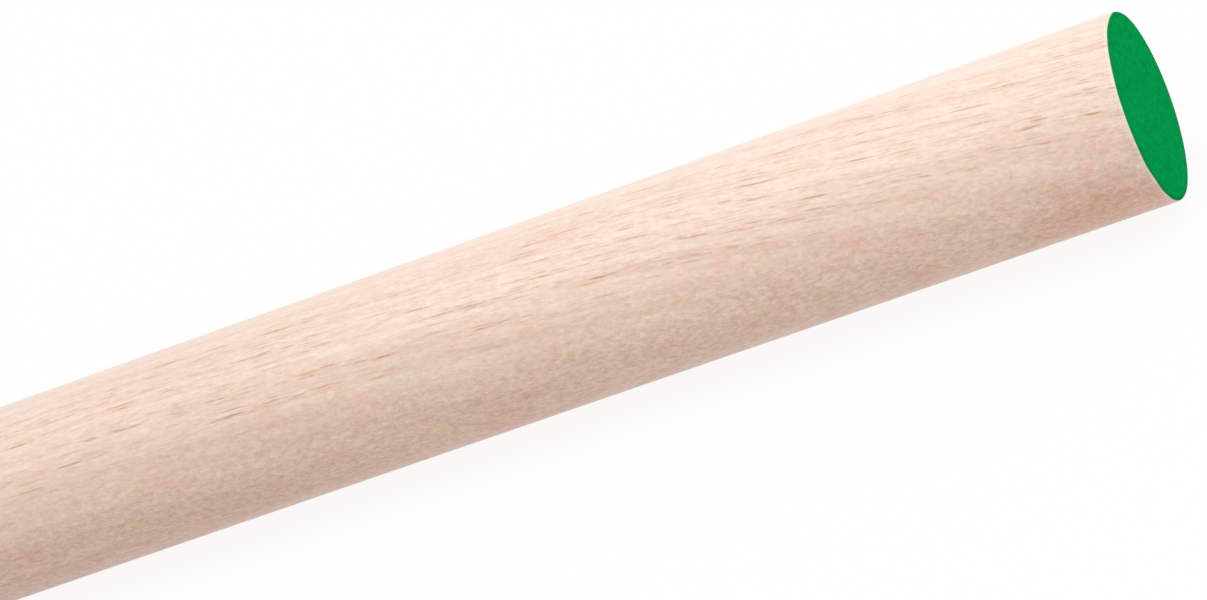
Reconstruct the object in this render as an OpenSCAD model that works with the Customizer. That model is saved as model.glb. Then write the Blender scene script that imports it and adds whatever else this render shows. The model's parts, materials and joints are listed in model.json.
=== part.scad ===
// Hardwood dowel rod with a colour-coded end.
//
// A blank of straight-grained hardwood is machined round and sawn square at both ends, and the
// sharp arris that the saw leaves is eased all the way round. One end then gets a coat of paint,
// whose colour says which diameter the rod is. The paint stops where the arris begins, so a thin
// ring of bare wood is left round it.
//
// The rod lies along X with its painted end at +X. The origin is on the rod's axis, half way
// along the wood. Sizes are in millimetres.

/* [Rod] */
// Diameter of the rod: 1 in
rod_d = 25.4; // [6:0.1:50]
// Length of the wood from one sawn end to the other: 36 in
rod_length = 914.4; // [150:0.1:2440]
// Radius that eases the arris round each sawn end
arris_r = 0.25; // [0.05:0.05:1]

/* [Painted end] */
// Thickness of the coat of paint
coat_t = 0.15; // [0.05:0.05:0.4]
// Radius of the coat's rounded rim, where the wet paint drew back from the arris
coat_rim_r = 0.1; // [0.05:0.05:0.4]

/* [Hidden] */

rod_r = rod_d / 2;
half_length = rod_length / 2;
face_r = rod_r - arris_r;              // flat part of a sawn end
rim_r = min(coat_rim_r, coat_t);       // the rim is never rounder than the coat is thick

wood_colour = [0.93, 0.82, 0.75];
paint_colour = [0.01, 0.58, 0.28];

fine = 128;                            // facets of a preview, round the rod
small = 24;                            // facets of a preview, round an arris or a rim

// Lays a shape that was turned about Z along X, with its upper end towards +X.
module along_x() {
    rotate([0, 90, 0]) children();
}

// Half section of a round bar from z = 0 up to z = length. A corner radius rounds its upper rim,
// and its lower rim too where both is true.
module bar_half_section(r, length, corner_r, both = true) {
    foot_r = both ? corner_r : 0;
    square([r - corner_r, length]);
    translate([0, foot_r]) square([r, length - corner_r - foot_r]);
    intersection() {
        square([r, length]);
        union() {
            translate([r - corner_r, length - corner_r]) circle(corner_r, $fn = small);
            if (both) translate([r - corner_r, corner_r]) circle(corner_r, $fn = small);
        }
    }
}

// The wood: one turned bar with an eased arris at each end.
module rod() {
    color(wood_colour)
        along_x()
            translate([0, 0, -half_length])
                rotate_extrude($fn = fine)
                    bar_half_section(rod_r, rod_length, arris_r);
}

// The coat of paint on the sawn end at +X: a film that lies on the end grain out to the arris.
module end_paint() {
    color(paint_colour)
        along_x()
            translate([0, 0, half_length])
                rotate_extrude($fn = fine)
                    bar_half_section(face_r, coat_t, rim_r, both = false);
}

rod();
end_paint();
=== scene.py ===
"""A hardwood dowel rod with a colour-coded end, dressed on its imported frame.

Everything is in metres in the rod's own frame: X runs along the axis towards the painted end, and
the origin is on the axis, half way along the wood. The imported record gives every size. The script
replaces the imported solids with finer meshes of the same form, gives each a procedural finish, and
sets them in a plain studio.

Directions across the rod are given as a bearing: the angle from +Z, counted towards -Y, so that
the camera's side of the rod has positive bearings.
"""

import json
import logging
import math
from abc import ABC, abstractmethod
from dataclasses import dataclass
from enum import Enum
from typing import ClassVar

import bmesh
import bpy
from mathutils import Matrix, Vector, noise


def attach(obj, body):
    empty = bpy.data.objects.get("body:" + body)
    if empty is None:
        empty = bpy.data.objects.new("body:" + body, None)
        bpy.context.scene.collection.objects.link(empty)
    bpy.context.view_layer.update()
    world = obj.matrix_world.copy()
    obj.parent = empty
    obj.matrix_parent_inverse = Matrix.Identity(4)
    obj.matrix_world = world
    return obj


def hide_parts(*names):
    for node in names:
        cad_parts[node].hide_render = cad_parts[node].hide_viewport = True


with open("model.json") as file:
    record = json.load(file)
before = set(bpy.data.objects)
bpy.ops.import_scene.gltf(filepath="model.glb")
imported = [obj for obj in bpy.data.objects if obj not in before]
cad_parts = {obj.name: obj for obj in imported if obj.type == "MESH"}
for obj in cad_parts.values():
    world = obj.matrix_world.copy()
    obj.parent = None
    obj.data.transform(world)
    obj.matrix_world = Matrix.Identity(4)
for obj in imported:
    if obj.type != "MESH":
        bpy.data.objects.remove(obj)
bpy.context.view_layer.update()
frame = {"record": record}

log = logging.getLogger("dowel_rod")

MM = 0.001
MAP_NAME = "OFBake"

Socket = bpy.types.NodeSocket
Feed = float | tuple | Vector | Socket
Span = tuple[float, float]
Triple = tuple[float, float, float]
Linear = tuple[float, float, float, float]

WHITE: Linear = (1.0, 1.0, 1.0, 1.0)


class Slot(Enum):
    """The record's material slots."""

    WOOD = "wood"
    PAINT = "paint"


class End(Enum):
    """The rod's two sawn ends, as the sign of their place on X."""

    PAINTED = 1
    PLAIN = -1


def screen(red: int, green: int, blue: int) -> Linear:
    """Turns a colour as a screen shows it into the linear colour that a shader takes.

    Args:
        red: Red, from 0 to 255.
        green: Green, from 0 to 255.
        blue: Blue, from 0 to 255.

    Returns:
        Linear red, green and blue, and an alpha of 1.
    """
    levels = (level / 255 for level in (red, green, blue))
    return *(v / 12.92 if v <= 0.04045 else ((v + 0.055) / 1.055) ** 2.4 for v in levels), 1.0


def across(bearing: float) -> Vector:
    """Gives the direction across the rod at a bearing.

    Args:
        bearing: Degrees from +Z towards -Y.

    Returns:
        A direction of length 1, square to the rod's axis.
    """
    angle = math.radians(bearing)
    return Vector((0.0, -math.sin(angle), math.cos(angle)))


@dataclass(frozen=True)
class RodSizes:
    """The rod's sizes in metres.

    Attributes:
        radius: Radius of the rod.
        half_length: From the origin to a sawn end.
        arris: Radius that eases the arris round a sawn end.
        coat: Thickness of the coat of paint.
    """

    radius: float
    half_length: float
    arris: float
    coat: float

    @classmethod
    def from_record(cls, record: dict) -> "RodSizes":
        """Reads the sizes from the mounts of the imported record.

        Args:
            record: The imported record.

        Returns:
            The sizes that the solids were built to.
        """
        mounts = {mount["name"]: mount for mount in record["mounts"]}
        shaft = mounts["shaft"]["dims"]
        half_length = -mounts["plain_end"]["pos_m"][0]
        return cls(
            radius=shaft["r_mm"] * MM,
            half_length=half_length,
            arris=half_length - shaft["length_mm"] * MM / 2,
            coat=mounts["painted_end"]["pos_m"][0] - half_length,
        )

    @property
    def face_radius(self) -> float:
        """Radius of the flat part of a sawn end."""
        return self.radius - self.arris


# ---------------------------------------------------------------------------------------------
# Shader nodes
# ---------------------------------------------------------------------------------------------


class Wiring:
    """Adds nodes to one node tree and joins them.

    Attributes:
        tree: The node tree of a material, a world or a node group.
    """

    def __init__(self, tree: bpy.types.NodeTree) -> None:
        """Starts on a tree."""
        self.tree = tree

    def feed(self, socket: Socket, value: Feed) -> None:
        """Joins an output to an input, or sets the input's own value.

        Args:
            socket: The input.
            value: Another node's output, or a number, vector or colour.
        """
        if isinstance(value, bpy.types.NodeSocket):
            self.tree.links.new(value, socket)
        else:
            socket.default_value = value

    def node(self, kind: str, feeds: dict[str | int, Feed] | None = None, **settings) -> bpy.types.Node:
        """Adds a node.

        Args:
            kind: The node's type, without its leading "ShaderNode".
            feeds: What each input gets, by the input's name or number.
            settings: The node's properties.

        Returns:
            The node.
        """
        made = self.tree.nodes.new("ShaderNode" + kind)
        for name, value in settings.items():
            setattr(made, name, value)
        for name, value in (feeds or {}).items():
            self.feed(made.inputs[name], value)
        return made

    def number(self, operation: str, *values: Feed) -> Socket:
        """Adds a Math node and returns its output."""
        return self.node("Math", dict(enumerate(values)), operation=operation).outputs["Value"]

    def plus(self, first: Feed, second: Feed) -> Socket:
        """Adds two numbers."""
        return self.number("ADD", first, second)

    def minus(self, first: Feed, second: Feed) -> Socket:
        """Takes the second number from the first."""
        return self.number("SUBTRACT", first, second)

    def times(self, first: Feed, second: Feed) -> Socket:
        """Multiplies two numbers."""
        return self.number("MULTIPLY", first, second)

    def scaled(self, value: Feed, factor: Feed, base: Feed) -> Socket:
        """Multiplies a value by a factor, and adds the result to a base."""
        return self.number("MULTIPLY_ADD", value, factor, base)

    def less(self, share: float, where: Socket) -> Socket:
        """Gives 1, and less than that by a share where a mask is 1."""
        return self.scaled(where, -share, 1.0)

    def vector(self, operation: str, *values: Feed) -> Socket:
        """Adds a Vector Math node and returns the vector it puts out."""
        return self.node("VectorMath", dict(enumerate(values)), operation=operation).outputs["Vector"]

    def stretched(self, value: Feed, factor: Feed) -> Socket:
        """Multiplies a vector by a number."""
        return self.node("VectorMath", {0: value, "Scale": factor}, operation="SCALE").outputs["Vector"]

    def reading(self, operation: str, *values: Feed) -> Socket:
        """Adds a Vector Math node and returns the number it puts out."""
        return self.node("VectorMath", dict(enumerate(values)), operation=operation).outputs["Value"]

    def parts(self, value: Socket) -> bpy.types.NodeOutputs:
        """Parts a vector into its X, Y and Z."""
        return self.node("SeparateXYZ", {"Vector": value}).outputs

    def joined(self, **parts: Feed) -> Socket:
        """Joins an X, Y and Z into a vector. Those left out are 0."""
        return self.node("CombineXYZ", parts).outputs["Vector"]

    def step(self, value: Feed, low: float, high: float) -> Socket:
        """Turns a value into a mask with soft edges.

        Args:
            value: The value.
            low: Where the mask is 0.
            high: Where the mask is 1. It may be the lower of the two.

        Returns:
            The mask.
        """
        feeds = {"Value": value, "From Min": low, "From Max": high}
        return self.node("MapRange", feeds, interpolation_type="SMOOTHSTEP").outputs["Result"]

    def tint(self, share: Feed, first: Feed, second: Feed, blend: str = "MIX") -> Socket:
        """Mixes two colours.

        Args:
            share: How much of the second colour comes in, from 0 to 1.
            first: The first colour.
            second: The second colour.
            blend: The way in which the colours meet.

        Returns:
            The mixed colour.
        """
        made = self.node("Mix", data_type="RGBA", blend_type=blend)
        inputs = {socket.identifier: socket for socket in made.inputs}
        for name, value in (("Factor_Float", share), ("A_Color", first), ("B_Color", second)):
            self.feed(inputs[name], value)
        return next(socket for socket in made.outputs if socket.identifier == "Result_Color")

    def mixed(self, share: Feed, first: Socket, second: Socket) -> Socket:
        """Mixes two shaders, the second of them by a share."""
        return self.node("MixShader", {0: share, 1: first, 2: second}).outputs["Shader"]

    def cloud(self, where: Feed, detail: float, roughness: float = 0.5) -> bpy.types.Node:
        """Adds a Noise Texture whose blobs are about one unit across."""
        feeds = {"Vector": where, "Scale": 1.0, "Detail": detail, "Roughness": roughness}
        return self.node("TexNoise", feeds)

    def relief(self, height: Socket, strength: float, depth: float) -> Socket:
        """Turns a height into a surface normal.

        Args:
            height: The height, where 1 stands for the whole depth.
            strength: How strongly the normal follows it, from 0 to 1.
            depth: The depth in metres.

        Returns:
            The normal.
        """
        feeds = {"Height": height, "Strength": strength, "Distance": depth}
        return self.node("Bump", feeds).outputs["Normal"]


class Effect(ABC):
    """A pattern that is used in more than one place, built once as a node group.

    Attributes:
        name: The group's name.
        takes: The group's inputs: each one's name, with the kind of its socket.
        gives: The group's outputs, in the same way.
    """

    name: str
    takes: dict[str, str]
    gives: dict[str, str]

    def __init__(self) -> None:
        """Makes the group's sockets and fills it."""
        self.tree = bpy.data.node_groups.new(self.name, "ShaderNodeTree")
        for sockets, way in ((self.takes, "INPUT"), (self.gives, "OUTPUT")):
            for socket, kind in sockets.items():
                self.tree.interface.new_socket(name=socket, in_out=way, socket_type="NodeSocket" + kind)
        inside = Wiring(self.tree)
        source = self.tree.nodes.new("NodeGroupInput").outputs
        results = self.fill(inside, {socket: source[socket] for socket in self.takes})
        sink = self.tree.nodes.new("NodeGroupOutput").inputs
        for socket, value in results.items():
            inside.feed(sink[socket], value)

    @abstractmethod
    def fill(self, inside: Wiring, given: dict[str, Socket]) -> dict[str, Socket]:
        """Builds the pattern.

        Args:
            inside: The group's own wiring.
            given: The group's inputs by name.

        Returns:
            What each of the group's outputs gets.
        """

    def place(self, wiring: Wiring, feeds: dict[str, Feed]) -> dict[str, Socket]:
        """Sets the group into a material.

        Args:
            wiring: The material's wiring.
            feeds: The values of the group's inputs, by name.

        Returns:
            The group's outputs by name.
        """
        made = wiring.tree.nodes.new("ShaderNodeGroup")
        made.node_tree = self.tree
        for name, value in feeds.items():
            wiring.feed(made.inputs[name], value)
        return {name: made.outputs[name] for name in self.gives}


@dataclass(frozen=True)
class Layer:
    """One noise in the wood.

    Attributes:
        scale: How often it repeats to a millimetre: along the grain, out from the pith and round it.
        detail: How many finer octaves it holds.
        roughness: How strong each octave is, as a share of the one before.
    """

    scale: Triple
    detail: float
    roughness: float = 0.5

    def cloud(self, inside: Wiring, where: Socket) -> bpy.types.Node:
        """Adds the noise at a position in millimetres."""
        return inside.cloud(inside.vector("MULTIPLY", where, self.scale), self.detail, self.roughness)

    def value(self, inside: Wiring, where: Socket) -> Socket:
        """Adds the noise and gives its value, which lies about 0.5."""
        return self.cloud(inside, where).outputs["Fac"]

    def swing(self, inside: Wiring, where: Socket) -> Socket:
        """Adds the noise and gives its value, which lies about 0."""
        return inside.minus(self.value(inside, where), 0.5)


@dataclass(frozen=True)
class PoreSize:
    """One size of open pore, each a slim spindle along the grain.

    Attributes:
        scale: How many pores there are to a millimetre: along the grain, out from the pith and
            round it.
        reach: Half the width of a pore, as a share of the spacing.
        stain_reach: How many times as wide the stain round a pore is.
        core: How much of its width a pore is at its deepest over.
    """

    scale: Triple
    reach: float
    stain_reach: float = 1.9
    core: float = 0.5

    def draw(self, inside: Wiring, place: Socket) -> tuple[Socket, Socket]:
        """Lays out the pores, some of them deeper than others.

        Args:
            inside: The group's own wiring.
            place: Position in the tree, in millimetres.

        Returns:
            A mask, which is 1 in the deepest pores, and one for what stains the wood round them.
        """
        cells = {"Vector": inside.vector("MULTIPLY", place, self.scale), "Scale": 1.0, "Randomness": 1.0}
        spindle = inside.node("TexVoronoi", cells, feature="F1").outputs
        depth = inside.node("SeparateColor", {"Color": spindle["Color"]}).outputs["Red"]
        deepest = self.reach * self.core
        pore = inside.step(spindle["Distance"], self.reach, deepest)
        stain = inside.step(spindle["Distance"], self.reach * self.stain_reach, deepest)
        return inside.times(pore, depth), inside.times(stain, depth)


class GrainFigure(Effect):
    """The figure of straight-grained hardwood, as it lies in the solid wood.

    The figure is laid out round the pith of the tree, which is off to one side of the rod: along
    the grain, out from the pith, and round it. Where a surface cuts across the growth rings it
    shows thin lines and slim open pores. Where it lies along a ring the wood looks dense and shows
    short flecks, and a sawn end shows arcs and dots.
    """

    name = "grain_figure"
    takes = {"Position": "Vector", "Pith": "Vector", "Lean": "Float", "Wander": "Float"}
    gives = dict.fromkeys(("Rings", "Pores", "Stain", "Fibres", "Flush", "Amber", "Painted_Falloff"), "Float")

    BEND = Layer((0.012, 0.03, 0.03), 1.0)
    WAVER = Layer((0.006, 0.30, 0.03), 3.0)
    STREAKS = Layer((0.02, 0.6, 0.3), 2.0)
    FIBRES = Layer((0.24, 1.9, 1.8), 2.0, 0.8)
    FLECKS = Layer((0.90, 1.9, 1.9), 2.5, 0.85)
    BREAKS = Layer((0.9, 5.5, 5.5), 1.0)
    FLUSH = Layer((0.12, 0.17, 0.17), 3.5, 0.8)
    AMBER = Layer((0.26, 0.55, 0.45), 1.0)
    FINE_PORES = PoreSize((0.30, 4.0, 4.0), 0.46)
    COARSE_PORES = PoreSize((0.13, 2.4, 2.4), 0.36)

    # The long wave of the grain: its length, a place where it crosses zero, and its height, all in
    # millimetres
    WAVE_LENGTH = 400.0
    WAVE_START = 57.0
    WAVE_HEIGHT = -4.1

    # The growth rings: their width in millimetres, and how many of them they waver by
    RING_WIDTH = 2.1
    RING_WAVER = 2.0
    # Where in a ring its dark line sets in and where it ends, as shares of the ring's width
    LATE_WOOD = (0.3, 0.85)
    LATE_WOOD_END = (1.0, 0.93)

    # How dark the streaks and the rings' lines are against each other
    STREAK_TONE = 2.2
    LINE_TONE = 0.4
    # How much shallower the fine pores are, and how much of all pores keeps to the dark lines
    FINE_DEPTH = 0.8
    PORES_IN_LINES = 0.6
    # The values of BREAKS that interrupt a pore, and how far they fill it
    BREAK_RANGE = (0.34, 0.50)
    BREAK_FILL = 0.85

    # Where the wood changes from place to place. Each pair says where the change begins and where
    # it is complete, in millimetres further from the pith than the rod's axis.
    DENSE_BARK_SIDE = (6.0, 10.0)
    DENSE_HEART = (-1.5, -10.0)
    BOLD_BARK_SIDE = (9.0, 12.5)
    # Painted light along X: the wood's colour is palest by the painted end and darker away from it, as
    # painted shade for the light that falls off along the rod
    PAINTED_FALLOFF_SPAN = (430.0, 275.0)

    # How strong the long fibres are, how much stronger all fibres are towards the bark, and how
    # much weaker each thing is in the heart or in open wood
    LONG_FIBRES = 0.5
    BOLDER_FIBRES = 0.45
    FAINTER_HEART_FIBRES = 0.7
    FAINTER_HEART_RINGS = 0.5
    FAINTER_OPEN_FLECKS = 0.4
    FAINTER_OPEN_FLUSH = 0.45
    FAINTER_OPEN_AMBER = 0.35

    def fill(self, inside: Wiring, given: dict[str, Socket]) -> dict[str, Socket]:
        """Builds the pattern.

        Args:
            inside: The group's own wiring.
            given: The group's inputs by name. Pith is where the pith lies, in millimetres.

        Returns:
            What each of the group's outputs gets.
        """
        place, depth = self.lay_out(inside, given)
        axes = inside.parts(place)
        heart = inside.step(depth, *self.DENSE_HEART)
        dense = inside.number("MAXIMUM", inside.step(depth, *self.DENSE_BARK_SIDE), heart)
        open_wood = inside.minus(1.0, dense)

        line = self.late_wood(inside, place, axes["Y"])
        streak = self.STREAKS.value(inside, place)
        rings = inside.scaled(streak, self.STREAK_TONE, inside.times(line, self.LINE_TONE))
        pores, stain = self.pores(inside, place, line, open_wood)
        flush = self.FLUSH.swing(inside, place)
        amber = self.AMBER.swing(inside, place)
        return {
            "Rings": inside.times(rings, inside.less(self.FAINTER_HEART_RINGS, heart)),
            "Pores": pores,
            "Stain": stain,
            "Fibres": self.fibres(inside, place, depth, heart, open_wood),
            "Flush": inside.times(flush, inside.less(self.FAINTER_OPEN_FLUSH, open_wood)),
            "Amber": inside.times(amber, inside.less(self.FAINTER_OPEN_AMBER, open_wood)),
            # painted shade: a mask that grows away from the painted end, where the light falls off
            "Painted_Falloff": inside.step(axes["X"], *self.PAINTED_FALLOFF_SPAN),
        }

    def lay_out(self, inside: Wiring, given: dict[str, Socket]) -> tuple[Socket, Socket]:
        """Carries a position to its place in the tree.

        Args:
            inside: The group's own wiring.
            given: The group's inputs by name.

        Returns:
            Millimetres along the grain, out from the pith and round it, and how much further from
            the pith than the rod's axis the position lies.
        """
        in_mm = inside.stretched(given["Position"], 1 / MM)
        bend = self.BEND.cloud(inside, in_mm).outputs["Color"]
        bend = inside.vector("SUBTRACT", bend, (0.5, 0.5, 0.5))
        wavy = inside.vector("ADD", in_mm, inside.stretched(bend, given["Wander"]))
        along = inside.parts(wavy)["X"]
        turn = inside.times(inside.minus(along, self.WAVE_START), math.tau / self.WAVE_LENGTH)
        lean = inside.times(along, given["Lean"])
        rise = inside.scaled(inside.number("SINE", turn), self.WAVE_HEIGHT, lean)

        to_pith = inside.vector("NORMALIZE", given["Pith"])
        side = inside.vector("CROSS_PRODUCT", to_pith, (-1, 0, 0))
        from_pith = inside.vector("SUBTRACT", inside.vector("MULTIPLY", wavy, (0, 1, 1)), given["Pith"])
        away = inside.reading("LENGTH", given["Pith"])
        depth = inside.minus(inside.reading("LENGTH", from_pith), away)
        sideways = inside.reading("DOT_PRODUCT", from_pith, side)
        outward = inside.times(inside.reading("DOT_PRODUCT", from_pith, to_pith), -1.0)
        round_it = inside.times(inside.number("ARCTAN2", sideways, outward), away)
        return inside.joined(X=along, Y=inside.plus(depth, rise), Z=round_it), depth

    def late_wood(self, inside: Wiring, place: Socket, out: Socket) -> Socket:
        """Draws the dark line of every growth ring.

        Args:
            inside: The group's own wiring.
            place: Position in the tree, in millimetres.
            out: Its part out from the pith.

        Returns:
            A mask, which is 1 where a line is at its darkest.
        """
        waver = inside.times(self.WAVER.value(inside, place), self.RING_WAVER)
        count = inside.plus(inside.number("DIVIDE", out, self.RING_WIDTH), waver)
        phase = inside.number("FRACT", count)
        start = inside.step(phase, *self.LATE_WOOD)
        return inside.times(start, inside.step(phase, *self.LATE_WOOD_END))

    def pores(
        self, inside: Wiring, place: Socket, line: Socket, open_wood: Socket
    ) -> tuple[Socket, Socket]:
        """Draws the open pores, which crowd in the rings' dark lines.

        Args:
            inside: The group's own wiring.
            place: Position in the tree, in millimetres.
            line: A mask, which is 1 in a ring's dark line.
            open_wood: A mask, which is 1 in open wood.

        Returns:
            A mask for the pores, and one for what stains the wood round them.
        """
        fine, _ = self.FINE_PORES.draw(inside, place)
        coarse, stain = self.COARSE_PORES.draw(inside, place)
        both = inside.number("MAXIMUM", coarse, inside.times(fine, self.FINE_DEPTH))
        share = inside.scaled(line, self.PORES_IN_LINES, 1 - self.PORES_IN_LINES)
        crowded = inside.times(share, open_wood)
        whole = inside.step(self.BREAKS.value(inside, place), *self.BREAK_RANGE)
        whole = inside.scaled(whole, self.BREAK_FILL, 1 - self.BREAK_FILL)
        return inside.times(both, inside.times(crowded, whole)), inside.times(stain, crowded)

    def fibres(
        self, inside: Wiring, place: Socket, depth: Socket, heart: Socket, open_wood: Socket
    ) -> Socket:
        """Draws the fibres: long in open wood, and short flecks in dense wood.

        Args:
            inside: The group's own wiring.
            place: Position in the tree, in millimetres.
            depth: How much further from the pith than the rod's axis the position lies.
            heart: A mask, which is 1 in the heart.
            open_wood: A mask, which is 1 in open wood.

        Returns:
            A value about 0, which is higher where a fibre is darker.
        """
        strength = inside.scaled(inside.step(depth, *self.BOLD_BARK_SIDE), self.BOLDER_FIBRES, 1.0)
        strength = inside.scaled(heart, -self.FAINTER_HEART_FIBRES, strength)
        short = self.FLECKS.swing(inside, place)
        short = inside.times(short, inside.less(self.FAINTER_OPEN_FLECKS, open_wood))
        long = inside.times(open_wood, self.LONG_FIBRES)
        return inside.times(inside.scaled(self.FIBRES.swing(inside, place), long, short), strength)


class Mottle(Effect):
    """Soft blotches of one size."""

    name = "mottle"
    takes = {"Position": "Vector", "Size": "Vector", "Seed": "Float"}
    gives = {"Value": "Float"}

    DETAIL = 3.0
    ROUGHNESS = 0.55

    def fill(self, inside: Wiring, given: dict[str, Socket]) -> dict[str, Socket]:
        """Builds the pattern.

        Args:
            inside: The group's own wiring.
            given: The group's inputs by name. Size is that of a blotch in metres.

        Returns:
            What each of the group's outputs gets.
        """
        where = inside.vector("DIVIDE", given["Position"], given["Size"])
        blotches = inside.cloud(where, self.DETAIL, self.ROUGHNESS)
        blotches.noise_dimensions = "4D"
        inside.feed(blotches.inputs["W"], given["Seed"])
        return {"Value": blotches.outputs["Fac"]}


class Rim(Effect):
    """A band round the rim of a sawn end."""

    name = "rim"
    takes = {"Position": "Vector", "Radius": "Float", "Plane": "Float", "Reach": "Float"}
    gives = {"Mask": "Float"}

    FULL = 0.3

    def fill(self, inside: Wiring, given: dict[str, Socket]) -> dict[str, Socket]:
        """Builds the band, which is at its full strength over the inner share of its reach.

        Args:
            inside: The group's own wiring.
            given: The group's inputs by name. Radius and Plane place the rim, in metres.

        Returns:
            What each of the group's outputs gets.
        """
        flat = inside.vector("MULTIPLY", given["Position"], (0, 1, 1))
        out = inside.minus(inside.reading("LENGTH", flat), given["Radius"])
        along = inside.minus(inside.parts(given["Position"])["X"], given["Plane"])
        off = inside.reading("LENGTH", inside.joined(X=out, Y=along))
        return {"Mask": inside.step(inside.number("DIVIDE", off, given["Reach"]), 1.0, self.FULL)}


@dataclass(frozen=True)
class Effects:
    """The node groups that the finishes share."""

    grain: GrainFigure
    mottle: Mottle
    rim: Rim


# ---------------------------------------------------------------------------------------------
# Finishes
# ---------------------------------------------------------------------------------------------


@dataclass(frozen=True)
class Grain:
    """How the grain lies in the rod, the same for the wood and for what shows through the paint.

    Attributes:
        pith_bearing: The direction in which the pith of the tree lies.
        pith_distance: How far off the pith is, in millimetres.
        lean: How far the grain leans towards the pith on its way to the painted end, in degrees.
            Below 0 it leans away.
        wander: How far the grain wavers to the side, in millimetres.
    """

    pith_bearing: float = -65.0
    pith_distance: float = 70.0
    lean: float = -4.0
    wander: float = 3.0

    def feeds(self) -> dict[str, Feed]:
        """Gives the inputs of the grain figure, by their names."""
        return {
            "Pith": across(self.pith_bearing) * self.pith_distance,
            "Lean": math.tan(math.radians(self.lean)),
            "Wander": self.wander,
        }


class Surface(Wiring):
    """The wiring of one finish's material.

    Attributes:
        material: The material.
        effects: The shared node groups.
        position: Object coordinates.
        shader: The shader's inputs.
    """

    def __init__(self, name: str, effects: Effects) -> None:
        """Makes the material.

        Args:
            name: Its name.
            effects: The shared node groups.
        """
        self.material = bpy.data.materials.new(name)
        self.material.use_nodes = True
        super().__init__(self.material.node_tree)
        self.effects = effects
        self.position = self.node("TexCoord").outputs["Object"]
        self.shader = self.tree.nodes["Principled BSDF"].inputs

    def figure(self, grain: Grain) -> dict[str, Socket]:
        """Sets in the figure of the grain, and gives its outputs by their names."""
        return self.effects.grain.place(self, {"Position": self.position} | grain.feeds())

    def mottle(self, size: Triple, seed: float) -> Socket:
        """Sets in soft blotches of one size in metres, and gives their value."""
        feeds = {"Position": self.position, "Size": size, "Seed": seed}
        return self.effects.mottle.place(self, feeds)["Value"]

    def rim(self, radius: float, plane: float, reach: float) -> Socket:
        """Sets in a band round the rim of an end, and gives its mask."""
        feeds = {"Position": self.position, "Radius": radius, "Plane": plane, "Reach": reach}
        return self.effects.rim.place(self, feeds)["Mask"]


class Finish(ABC):
    """A surface finish, which makes one material.

    Attributes:
        name: The material's name.
    """

    name: ClassVar[str]

    def material(self, effects: Effects) -> bpy.types.Material:
        """Makes the material.

        Args:
            effects: The shared node groups.

        Returns:
            The material.
        """
        surface = Surface(self.name, effects)
        self.coat(surface)
        return surface.material

    @abstractmethod
    def coat(self, surface: Surface) -> None:
        """Feeds the shader of the surface.

        Args:
            surface: The material's wiring.
        """


@dataclass(frozen=True)
class Blotch:
    """A kind of soft blotch in the wood.

    Attributes:
        source: Which of the grain figure's outputs draws it.
        full: The value of that output at which the blotch is complete. It sets in at 0.
        colour: What it multiplies the wood's colour by.
    """

    source: str
    full: float
    colour: Linear

    def lay(self, surface: Surface, figure: dict[str, Socket], colour: Socket) -> Socket:
        """Lays the blotches over the wood's colour, and gives the result."""
        mask = surface.step(figure[self.source], 0.0, self.full)
        return surface.tint(mask, colour, self.colour, "MULTIPLY")


@dataclass(frozen=True)
class HandlingMark:
    """A reddish mark near the painted end, where the rod has been handled.

    Attributes:
        sizes: The rod's sizes.
        colour: What the mark multiplies the wood's colour by.
        bearing: Where its middle is round the rod, in degrees.
        inset: How far its middle is from the painted end.
        half_size: Its half sizes along the rod and across it.
        patch: The size of the patches that it breaks up into.
        raggedness: How strongly they break up its outline.
        fade: Where the mark sets in and where it is complete: how many half sizes off its middle,
            with the patches' part added.
        seed: Which patches they are.
    """

    sizes: RodSizes
    colour: Linear = (0.96, 0.825, 0.78, 1.0)
    bearing: float = 112.0
    inset: float = 9.0 * MM
    half_size: Triple = (11.0 * MM, 7.0 * MM, 7.0 * MM)
    patch: Triple = (1.3 * MM, 0.8 * MM, 0.8 * MM)
    raggedness: float = 3.0
    fade: Span = (2.6, 1.8)
    seed: float = 2.0

    def lay(self, surface: Surface, colour: Socket) -> Socket:
        """Lays the mark over the wood.

        Args:
            surface: The material's wiring.
            colour: The colour so far.

        Returns:
            The colour with the mark on it.
        """
        middle = across(self.bearing) * self.sizes.radius
        middle.x = self.sizes.half_length - self.inset
        off = surface.vector("SUBTRACT", surface.position, middle)
        off = surface.reading("LENGTH", surface.vector("DIVIDE", off, self.half_size))
        ragged = surface.scaled(surface.mottle(self.patch, self.seed), self.raggedness, off)
        return surface.tint(surface.step(ragged, *self.fade), colour, self.colour, "MULTIPLY")


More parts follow.
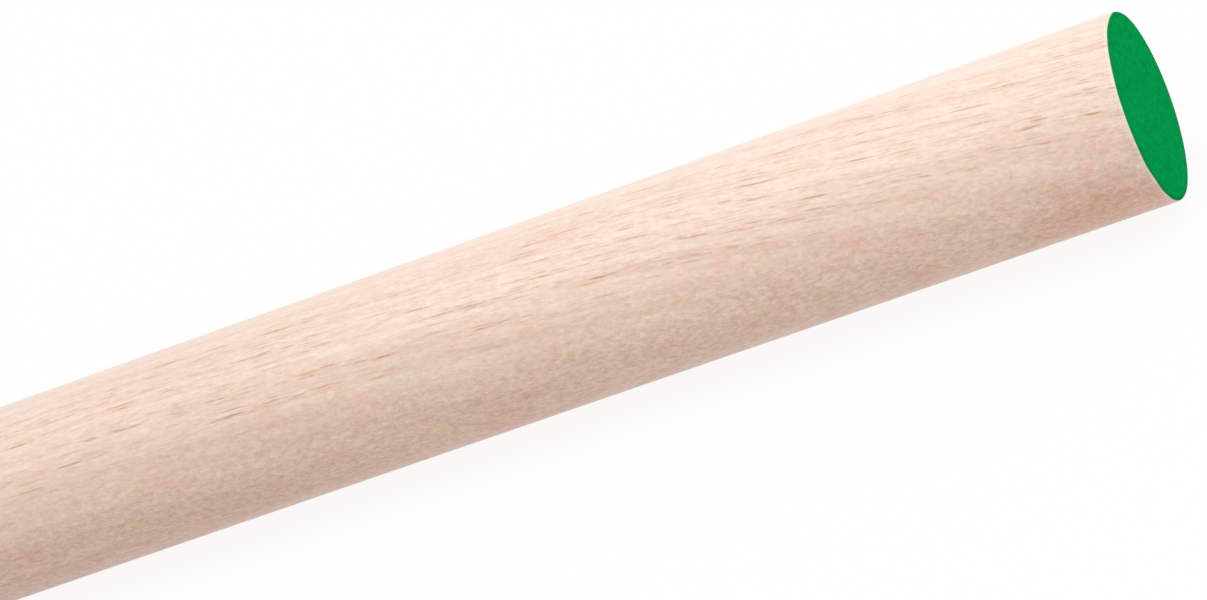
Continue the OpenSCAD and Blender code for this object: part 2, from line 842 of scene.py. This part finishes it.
@dataclass(frozen=True)
class SawnEdge:
    """The eased arris of a sawn end, paled partly as a painted highlight, with specks of torn grain
    beside it.

    Attributes:
        sizes: The rod's sizes.
        cut: The arris: freshly cut fibres, and a painted highlight where it catches the light.
        cut_and_highlight_share: How much of that colour comes in.
        cut_and_highlight_reach: How far it reaches, in radii of the arris.
        torn: What the specks multiply the wood's colour by.
        torn_reach: How far they reach, in radii of the arris.
        speck: The size of a speck.
        speck_range: The values of the mottle at which a speck sets in and is complete.
        seed: Which specks they are.
    """

    sizes: RodSizes
    # partly painted highlight: the arris's pale colour stands for fresh-cut wood and for light caught by
    # the arris
    cut: Linear = screen(252, 240, 222)
    cut_and_highlight_share: float = 0.6
    cut_and_highlight_reach: float = 1.7
    torn: Linear = (0.84, 0.78, 0.74, 1.0)
    torn_reach: float = 7.0
    speck: Triple = (0.5 * MM, 0.35 * MM, 0.35 * MM)
    speck_range: Span = (0.57, 0.63)
    seed: float = 8.0

    def lay(self, surface: Surface, colour: Socket, end: End) -> Socket:
        """Pales the arris of one end, partly as a painted highlight, and lays the specks beside it.

        Args:
            surface: The material's wiring.
            colour: The colour so far.
            end: Which end it is.

        Returns:
            The colour with the edge on it.
        """
        radius, arris = self.sizes.face_radius, self.sizes.arris
        plane = end.value * (self.sizes.half_length - arris)
        beside = surface.rim(radius, plane, self.torn_reach * arris)
        specks = surface.step(surface.mottle(self.speck, self.seed), *self.speck_range)
        colour = surface.tint(surface.times(specks, beside), colour, self.torn, "MULTIPLY")
        # painted highlight in part: the pale band along the arris is fresh-cut wood and light caught by
        # the eased edge
        band = surface.rim(radius, plane, self.cut_and_highlight_reach * arris)
        return surface.tint(surface.times(band, self.cut_and_highlight_share), colour, self.cut)


@dataclass(frozen=True)
class BareWood(Finish):
    """Bare hardwood, machined round and sanded.

    Attributes:
        blotches: The soft blotches: pinkish, olive and amber.
        sizes: The rod's sizes.
        grain: How the grain lies.
        pale: The palest growth rings.
        shaded: The dullest growth rings.
        ring_share: How strongly the rings turn from the one to the other.
        contrast: How strongly the fibres lighten and darken red, green and blue.
        painted_falloff: Painted shade: what the wood's colour is multiplied by away from the painted
            end, where the light falls off.
        pore: The bottom of an open pore.
        pore_share: How much of that colour comes in.
        rust: The warm stain round some pores.
        rust_share: How much of that colour comes in.
        rust_range: The values of the amber blotches at which a stain sets in and is complete.
        roughness: Roughness of the sanded surface.
        pore_roughness: How much rougher a pore is.
        fibre_height: How high the fibres stand, as a share of a pore's depth.
        bump: How strongly the relief shows.
        depth: Depth of a pore.
    """

    name: ClassVar[str] = "bare_wood"
    blotches: ClassVar[tuple[Blotch, ...]] = (
        Blotch("Flush", 0.25, (1.05, 0.89, 0.92, 1.0)),
        Blotch("Flush", -0.30, (0.955, 1.01, 0.985, 1.0)),
        Blotch("Amber", 0.30, (1.0, 0.99, 0.90, 1.0)),
    )

    sizes: RodSizes
    grain: Grain
    pale: Linear = screen(252, 232, 217)
    shaded: Linear = screen(230, 197, 181)
    ring_share: float = 0.34
    contrast: Triple = (0.57, 0.79, 0.94)
    # painted shade for the light that falls off away from the painted end
    painted_falloff: Linear = (0.885, 0.87, 0.86, 1.0)
    pore: Linear = screen(162, 131, 112)
    pore_share: float = 0.7
    rust: Linear = screen(236, 188, 154)
    rust_share: float = 0.9
    rust_range: Span = (-0.12, 0.04)
    roughness: float = 0.4
    pore_roughness: float = 0.3
    fibre_height: float = 0.5
    bump: float = 0.25
    depth: float = 0.06 * MM

    def coat(self, surface: Surface) -> None:
        """Feeds the shader of the surface.

        Args:
            surface: The material's wiring.
        """
        figure = surface.figure(self.grain)
        colour = self.fibres(surface, figure)
        for blotch in self.blotches:
            colour = blotch.lay(surface, figure, colour)
        colour = self.open_pores(surface, figure, colour)
        colour = HandlingMark(self.sizes).lay(surface, colour)
        # the arris bands hold a painted highlight as well as the colour of fresh-cut wood
        edge = SawnEdge(self.sizes)
        for end in End:
            colour = edge.lay(surface, colour, end)
        surface.feed(surface.shader["Base Color"], colour)

        rough = surface.scaled(figure["Pores"], self.pore_roughness, self.roughness)
        surface.feed(surface.shader["Roughness"], rough)
        height = surface.minus(surface.times(figure["Fibres"], self.fibre_height), figure["Pores"])
        surface.feed(surface.shader["Normal"], surface.relief(height, self.bump, self.depth))

    def fibres(self, surface: Surface, figure: dict[str, Socket]) -> Socket:
        """Shades the wood by its growth rings, its fibres and painted shade away from the painted end.

        Args:
            surface: The material's wiring.
            figure: The grain figure's outputs.

        Returns:
            The colour.
        """
        tone = surface.times(figure["Rings"], self.ring_share)
        colour = surface.tint(tone, self.pale, self.shaded)
        shade = surface.vector("MULTIPLY", figure["Fibres"], self.contrast)
        colour = surface.tint(1.0, colour, surface.vector("SUBTRACT", (1, 1, 1), shade), "MULTIPLY")
        # painted shade: the wood darkens away from the painted end, as if the light fell off along the
        # rod
        return surface.tint(figure["Painted_Falloff"], colour, self.painted_falloff, "MULTIPLY")

    def open_pores(self, surface: Surface, figure: dict[str, Socket], colour: Socket) -> Socket:
        """Draws the open pores, some of them with a warm stain.

        Args:
            surface: The material's wiring.
            figure: The grain figure's outputs.
            colour: The colour so far.

        Returns:
            The colour with the pores in it.
        """
        warm = surface.times(figure["Stain"], surface.step(figure["Amber"], *self.rust_range))
        colour = surface.tint(surface.times(warm, self.rust_share), colour, self.rust)
        return surface.tint(surface.times(figure["Pores"], self.pore_share), colour, self.pore)


@dataclass(frozen=True)
class EndPaint(Finish):
    """Matt paint on end grain.

    Attributes:
        sizes: The rod's sizes.
        grain: How the grain under the paint lies.
        green: The paint.
        deep: The paint where it lies thicker.
        edge: The paint round its rim.
        edge_share: How much of that colour comes in.
        edge_reach: How far in from the rim it reaches.
        blotch: Size of the blotches in which the film lies thicker or thinner.
        film_range: The values of the film at which it turns from green to deep.
        seed: Which blotches they are.
        roughness: Roughness of the dry film.
        film_roughness: How much rougher it is where it lies thicker.
        gloss: Strength of the film's reflection. Matt paint has none.
        pore_depth: How deep the wood's pores show, as a share of the film's own relief.
        bump: How strongly the relief shows.
        depth: Depth of the relief.
    """

    name: ClassVar[str] = "end_paint"

    sizes: RodSizes
    grain: Grain
    green: Linear = screen(9, 175, 91)
    deep: Linear = screen(3, 160, 78)
    edge: Linear = screen(10, 148, 72)
    edge_share: float = 0.8
    edge_reach: float = 0.9 * MM
    blotch: Triple = (0.7 * MM, 0.7 * MM, 0.7 * MM)
    film_range: Span = (0.35, 0.65)
    seed: float = 5.0
    roughness: float = 0.7
    film_roughness: float = 0.1
    gloss: float = 0.0
    pore_depth: float = 0.6
    bump: float = 0.4
    depth: float = 0.06 * MM

    def coat(self, surface: Surface) -> None:
        """Feeds the shader of the surface.

        Args:
            surface: The material's wiring.
        """
        film = surface.mottle(self.blotch, self.seed)
        colour = surface.tint(surface.step(film, *self.film_range), self.green, self.deep)
        band = surface.rim(self.sizes.radius, self.sizes.half_length, self.edge_reach)
        colour = surface.tint(surface.times(band, self.edge_share), colour, self.edge)
        surface.feed(surface.shader["Base Color"], colour)
        rough = surface.scaled(film, self.film_roughness, self.roughness)
        surface.feed(surface.shader["Roughness"], rough)
        surface.shader["Specular IOR Level"].default_value = self.gloss
        height = surface.scaled(surface.figure(self.grain)["Pores"], -self.pore_depth, film)
        surface.feed(surface.shader["Normal"], surface.relief(height, self.bump, self.depth))


# ---------------------------------------------------------------------------------------------
# The rod and its coat of paint
# ---------------------------------------------------------------------------------------------


class Turned:
    """A round bar along X, as a bmesh that its methods shape.

    Attributes:
        low: Where the bar starts on X.
        high: Where it ends.
        radius: Its radius.
        bm: The mesh.
    """

    SIDES = 192

    def __init__(self, low: float, high: float, radius: float) -> None:
        """Makes a plain bar with a flat face at each end.

        Args:
            low: Where the bar starts on X.
            high: Where it ends.
            radius: Its radius.
        """
        self.low, self.high, self.radius = low, high, radius
        self.bm = bmesh.new()
        lie_down = Matrix.Translation(((low + high) / 2, 0, 0)) @ Matrix.Rotation(math.pi / 2, 4, "Y")
        bmesh.ops.create_cone(
            self.bm, cap_ends=True, segments=self.SIDES, radius1=radius, radius2=radius,
            depth=high - low, matrix=lie_down,
        )

    def ease(self, plane: float, by: float, segments: int) -> None:
        """Rounds the rim of the end face that lies in a plane.

        Args:
            plane: Where the end face is on X.
            by: The radius of the rounding.
            segments: Faces across the rounding.
        """
        near = (self.high - self.low) / 4
        rim = [e for e in self.bm.edges if all(abs(v.co.x - plane) < near for v in e.verts)]
        bmesh.ops.bevel(
            self.bm, geom=rim, offset=by, offset_type="OFFSET", affect="EDGES", segments=segments,
            profile=0.5, material=-1,
        )

    def ring_faces(self, rings: int, border: float = 0.0) -> None:
        """Parts both end faces into rings round a pole.

        Args:
            rings: How many rings each face gets, the disc in the middle included.
            border: Width of one more ring, outside the others.
        """
        ends = [f for f in self.bm.faces if len(f.verts) == self.SIDES]
        if border:
            bmesh.ops.inset_region(self.bm, faces=ends, thickness=border, use_even_offset=True)
        width = max(v.co.yz.length for v in ends[0].verts) / rings
        for _ in range(rings - 1):
            bmesh.ops.inset_region(self.bm, faces=ends, thickness=width, use_even_offset=True)
        bmesh.ops.poke(self.bm, faces=ends)

    def part(self, pieces: int) -> None:
        """Cuts the bar's skin into bands of equal length.

        Args:
            pieces: How many bands there are.
        """
        for cut in range(1, pieces):
            place = self.low + (self.high - self.low) * cut / pieces
            geometry = self.bm.verts[:] + self.bm.edges[:] + self.bm.faces[:]
            bmesh.ops.bisect_plane(self.bm, geom=geometry, plane_co=(place, 0, 0), plane_no=(1, 0, 0))

    def to_object(self, name: str) -> bpy.types.Object:
        """Ends the shaping, and puts the mesh into the scene with its faces turned outwards.

        Args:
            name: The piece's name.

        Returns:
            The piece.
        """
        bmesh.ops.recalc_face_normals(self.bm, faces=self.bm.faces[:])
        for face in self.bm.faces:
            face.smooth = True
        mesh = bpy.data.meshes.new(name)
        self.bm.to_mesh(mesh)
        self.bm.free()
        piece = bpy.data.objects.new(name, mesh)
        bpy.context.scene.collection.objects.link(piece)
        return piece


@dataclass(frozen=True)
class MapSheet:
    """Lays a round bar out flat: its skin in strips along U, and its end faces as discs above them.

    Attributes:
        bar: Radius of the bar.
        low: Where the bar starts on X.
        high: Where it ends.
        rim: Length of the eased rim on X, at both ends.
        strips: How many strips the skin is parted into.
        strip_height: Height of a strip, as a share of the sheet.
        margin: The gap round every island, as a share of the sheet.
        rim_share: How much of a strip's length an eased rim takes.
        squareness: How squarely across the bar a face lies that belongs to an end disc.
    """

    bar: float
    low: float
    high: float
    rim: float
    strips: int = 2
    strip_height: float = 0.43
    margin: float = 0.005
    rim_share: float = 0.006
    squareness: float = 0.99

    def run(self, x: float) -> float:
        """Carries a place on X to a share of the bar's length, with the eased rims drawn out.

        Args:
            x: The place.

        Returns:
            Its share of the length, from 0 to 1.
        """
        edge = self.rim_share / self.strips
        plain = 1 - 2 * edge
        if x < self.low + self.rim:
            return edge * (x - self.low) / self.rim
        if x > self.high - self.rim:
            return 1 - edge * (self.high - x) / self.rim
        return edge + plain * (x - self.low - self.rim) / (self.high - self.low - 2 * self.rim)

    def lay(self, bm: bmesh.types.BMesh) -> None:
        """Gives every face its place on the sheet.

        Args:
            bm: The bar's mesh, which has a ring of edges wherever one strip meets the next.
        """
        layer = bm.loops.layers.uv.new(MAP_NAME)
        bm.normal_update()
        for face in bm.faces:
            middle = face.calc_center_median()
            on_disc = abs(face.normal.x) > self.squareness
            for loop in face.loops:
                at = loop.vert.co
                loop[layer].uv = self.on_disc(at, middle) if on_disc else self.on_strip(at, middle)

    def on_disc(self, at: Vector, middle: Vector) -> Vector:
        """Finds a corner's place on the disc of an end face.

        Args:
            at: The corner.
            middle: The middle of its face.

        Returns:
            Its place on the sheet.
        """
        disc = (1 - self.strips * (self.strip_height + self.margin) - 2 * self.margin) / 2
        radii = 1 if middle.x > (self.low + self.high) / 2 else 3
        centre = Vector((radii * (disc + self.margin), 1 - disc - self.margin))
        return centre + at.yz * disc / self.bar

    def on_strip(self, at: Vector, middle: Vector) -> Vector:
        """Finds a corner's place on the strip that its face belongs to.

        Args:
            at: The corner.
            middle: The middle of its face.

        Returns:
            Its place on the sheet.
        """
        strip = min(int(self.run(middle.x) * self.strips), self.strips - 1)
        along = self.run(at.x) * self.strips - strip
        turn = math.atan2(middle.y, middle.z)
        angle = turn + math.remainder(math.atan2(at.y, at.z) - turn, math.tau)
        up = strip * (self.strip_height + self.margin) + self.strip_height * (angle + math.pi) / math.tau
        return Vector((self.margin + along * (1 - 2 * self.margin), self.margin + up))


@dataclass
class Rod:
    """The wood: a bar with an eased arris at each sawn end.

    Attributes:
        sizes: The rod's sizes.
        bands: How many bands the skin has along the rod. It is even, so that a ring of edges lies
            at mid-length, where the map's strips meet.
    """

    sizes: RodSizes
    bands: int = 24

    def build(self) -> bpy.types.Object:
        """Builds the mesh and its map.

        Returns:
            The piece.
        """
        half, arris = self.sizes.half_length, self.sizes.arris
        bar = Turned(-half, half, self.sizes.radius)
        for end in End:
            bar.ease(end.value * half, arris, segments=5)
        bar.ring_faces(rings=6)
        bar.part(self.bands)
        MapSheet(self.sizes.radius, -half, half, arris).lay(bar.bm)
        return bar.to_object("turned_rod")

    def dress(self, piece: bpy.types.Object, finish: bpy.types.Material) -> None:
        """Gives the piece its finish and its place in the frame.

        Args:
            piece: The piece.
            finish: Its material.
        """
        piece.data.materials.append(finish)
        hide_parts("rod")
        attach(piece, "root")


@dataclass
class PaintCoat:
    """The coat of paint on the sawn end at +X.

    Attributes:
        sizes: The rod's sizes.
        rim: Radius of the coat's rounded rim.
        border: Width of the face's outermost ring, which follows the rim.
        creep: How much of the arris the paint covers, on average.
        unevenness: How far that share strays.
        waves: How quickly it changes round the rim.
        thinning: How much of its thickness the film loses by its edge.
    """

    sizes: RodSizes
    rim: float = 0.1 * MM
    border: float = 0.15 * MM
    creep: float = 0.38
    unevenness: float = 0.25
    waves: float = 2.2
    thinning: float = 0.8

    def build(self) -> bpy.types.Object:
        """Builds the mesh and its map.

        Returns:
            The piece.
        """
        back = self.sizes.half_length
        front = back + self.sizes.coat
        film = Turned(back, front, self.sizes.face_radius)
        film.ease(front, self.rim, segments=6)
        film.ring_faces(rings=8, border=self.border)
        MapSheet(self.sizes.face_radius, back, front, self.rim, strips=1, strip_height=0.05).lay(film.bm)
        self.wrap(film.bm)
        return film.to_object("paint_coat")

    def wrap(self, bm: bmesh.types.BMesh) -> None:
        """Wraps the coat's rim down over the arris by an uneven share, and thins it towards its edge.

        Args:
            bm: The coat's mesh.
        """
        face, arris, back = self.sizes.face_radius, self.sizes.arris, self.sizes.half_length
        ahead = Vector((1, 0, 0))
        for vert in bm.verts:
            reach = vert.co.yz.length
            over = (reach - face) / self.rim + 1
            if over < 0:
                continue
            outward = Vector((0, vert.co.y, vert.co.z)) / reach
            share = self.creep + self.unevenness * noise.fractal(outward * self.waves, 0.6, 2.0, 2)
            turn = math.pi / 2 * share * over
            film = (vert.co.x - back) * (1 - self.thinning * over)
            off_arris = math.sin(turn) * outward + math.cos(turn) * ahead
            vert.co = outward * face + ahead * (back - arris) + off_arris * (arris + film)

    def dress(self, piece: bpy.types.Object, finish: bpy.types.Material) -> None:
        """Gives the piece its finish and its place in the frame.

        Args:
            piece: The piece.
            finish: Its material.
        """
        piece.data.materials.append(finish)
        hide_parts("end_paint")
        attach(piece, "root")


# ---------------------------------------------------------------------------------------------
# The studio
# ---------------------------------------------------------------------------------------------


@dataclass(frozen=True)
class Softbox:
    """A soft lamp.

    Attributes:
        name: The lamp's name.
        place: Where it hangs, in metres.
        aim: What it points at.
        size: Its width and height.
        power: Its power in watts.
    """

    name: str
    place: Triple
    aim: Triple
    size: Span
    power: float

    def hang(self) -> None:
        """Puts the lamp into the scene."""
        lamp = bpy.data.lights.new(self.name, "AREA")
        lamp.shape = "RECTANGLE"
        lamp.size, lamp.size_y = self.size
        lamp.energy = self.power
        held = bpy.data.objects.new(self.name, lamp)
        held.location = self.place
        held.rotation_euler = (Vector(self.aim) - held.location).to_track_quat("-Z", "Y").to_euler()
        bpy.context.scene.collection.objects.link(held)


@dataclass
class Studio:
    """A plain studio: a white floor at the rod's underside, soft lamps and the camera.

    Attributes:
        sizes: The rod's sizes.
        lens: Focal length of the camera, in millimetres on a sensor 36 mm wide.
        camera_place: Where the camera is.
        camera_aim: The point in the middle of its view.
        roll: How far the camera is turned about its own line of sight, in degrees.
        floor_size: Length of the floor's side.
        clip: How near and how far the camera sees.
        daylight: Strength of the light that comes from all round.
        floor_glow: The light that the floor throws on to the underside of the rod.
        floor_shade: How much of what the camera sees of the floor takes the lamps' light, and so
            the rod's shadow. The rest is plain white.
        floor_grey: The floor's own colour there.
    """

    sizes: RodSizes
    lens: float = 185.55
    camera_place: Triple = (0.6476, -0.62849, 0.44007)
    camera_aim: Triple = (0.379775, -0.000293, -0.000418)
    roll: float = 32.247
    clip: Span = (0.01, 50.0)
    floor_size: float = 12.0
    daylight: float = 0.695
    floor_glow: Linear = (0.588, 0.487, 0.428, 1.0)
    floor_shade: float = 0.1
    floor_grey: Linear = (0.9, 0.9, 0.9, 1.0)

    def build(self) -> None:
        """Builds the studio."""
        self.set_camera()
        self.lay_floor()
        self.light_world()
        for lamp in self.lamps():
            lamp.hang()
        bpy.context.scene.view_settings.view_transform = "Standard"

    def lamps(self) -> list[Softbox]:
        """Lists the lamps.

        Returns:
            A large softbox overhead, and a small one that looks down on the painted end.
        """
        end = self.sizes.half_length
        return [
            Softbox(
                "overhead", place=(0.1, 0.0, 1.0), aim=(0.1, 0.0, 0.0), size=(2.4, 1.0), power=7.45
            ),
            Softbox(
                "end_fill", place=(end + 1.4, -0.25, 0.6), aim=(end, 0.0, 0.0), size=(0.6, 0.6),
                power=2.73,
            ),
        ]

    def set_camera(self) -> None:
        """Makes the camera."""
        lens = bpy.data.cameras.new("camera")
        lens.sensor_width = 36.0
        lens.lens = self.lens
        lens.clip_start, lens.clip_end = self.clip
        camera = bpy.data.objects.new("camera", lens)
        camera.location = self.camera_place
        sight = Vector(self.camera_aim) - camera.location
        level = sight.to_track_quat("-Z", "Y").to_matrix().to_4x4()
        tilt = Matrix.Rotation(math.radians(-self.roll), 4, "Z")
        camera.rotation_euler = (level @ tilt).to_euler()
        bpy.context.scene.collection.objects.link(camera)
        bpy.context.scene.camera = camera

    def lay_floor(self) -> None:
        """Lays the floor, which the camera sees as white with a faint shadow on it."""
        bm = bmesh.new()
        level = Matrix.Translation((0, 0, -self.sizes.radius))
        bmesh.ops.create_grid(bm, x_segments=1, y_segments=1, size=self.floor_size / 2, matrix=level)
        mesh = bpy.data.meshes.new("floor")
        bm.to_mesh(mesh)
        bm.free()
        mesh.materials.append(self.floor_finish())
        floor = bpy.data.objects.new("floor", mesh)
        bpy.context.scene.collection.objects.link(floor)

    def seen_directly(self, wiring: Wiring) -> Socket:
        """Finds the rays that come straight from the camera, or by way of a gloss or a glass.

        Args:
            wiring: The wiring of the floor or the world.

        Returns:
            A mask, which is 1 for these rays.
        """
        path = wiring.node("LightPath").outputs
        seen = wiring.number("MAXIMUM", path["Is Camera Ray"], path["Is Glossy Ray"])
        return wiring.number("MAXIMUM", seen, path["Is Transmission Ray"])

    def floor_finish(self) -> bpy.types.Material:
        """Builds the floor's finish, which can be seen through from below.

        Returns:
            The material.
        """
        made = bpy.data.materials.new("white_floor")
        made.use_nodes = True
        made.node_tree.nodes.clear()
        wiring = Wiring(made.node_tree)
        glow = wiring.node("Emission", {"Color": self.floor_glow, "Strength": 1.0}).outputs["Emission"]
        white = wiring.node("Emission", {"Color": WHITE, "Strength": 1.0}).outputs["Emission"]
        matt = wiring.node("BsdfDiffuse", {"Color": self.floor_grey}).outputs["BSDF"]
        shown = wiring.mixed(self.floor_shade, white, matt)
        from_above = wiring.mixed(self.seen_directly(wiring), glow, shown)
        below = wiring.node("NewGeometry").outputs["Backfacing"]
        clear = wiring.node("BsdfTransparent").outputs["BSDF"]
        wiring.node("OutputMaterial", {"Surface": wiring.mixed(below, from_above, clear)})
        return made

    def light_world(self) -> None:
        """Lights the world evenly, and shows it as white."""
        world = bpy.data.worlds.new("studio")
        world.use_nodes = True
        world.node_tree.nodes.clear()
        wiring = Wiring(world.node_tree)
        light = wiring.node("Background", {"Color": WHITE, "Strength": self.daylight}).outputs[0]
        white = wiring.node("Background", {"Color": WHITE, "Strength": 1.0}).outputs[0]
        shown = wiring.mixed(self.seen_directly(wiring), light, white)
        wiring.node("OutputWorld", {"Surface": shown})
        bpy.context.scene.world = world


def main() -> None:
    """Builds the rod, its coat of paint and the studio."""
    logging.basicConfig(level=logging.INFO, format="%(name)s: %(message)s")
    sizes = RodSizes.from_record(frame["record"])
    Studio(sizes).build()
    effects = Effects(GrainFigure(), Mottle(), Rim())
    grain = Grain()
    finishes = {Rod: BareWood(sizes, grain), PaintCoat: EndPaint(sizes, grain)}
    for maker, finish in finishes.items():
        made = maker(sizes)
        piece = made.build()
        made.dress(piece, finish.material(effects))
        log.info("%s: %d faces, %s", piece.name, len(piece.data.polygons), finish.__class__.__name__)


if __name__ == "__main__":
    main()
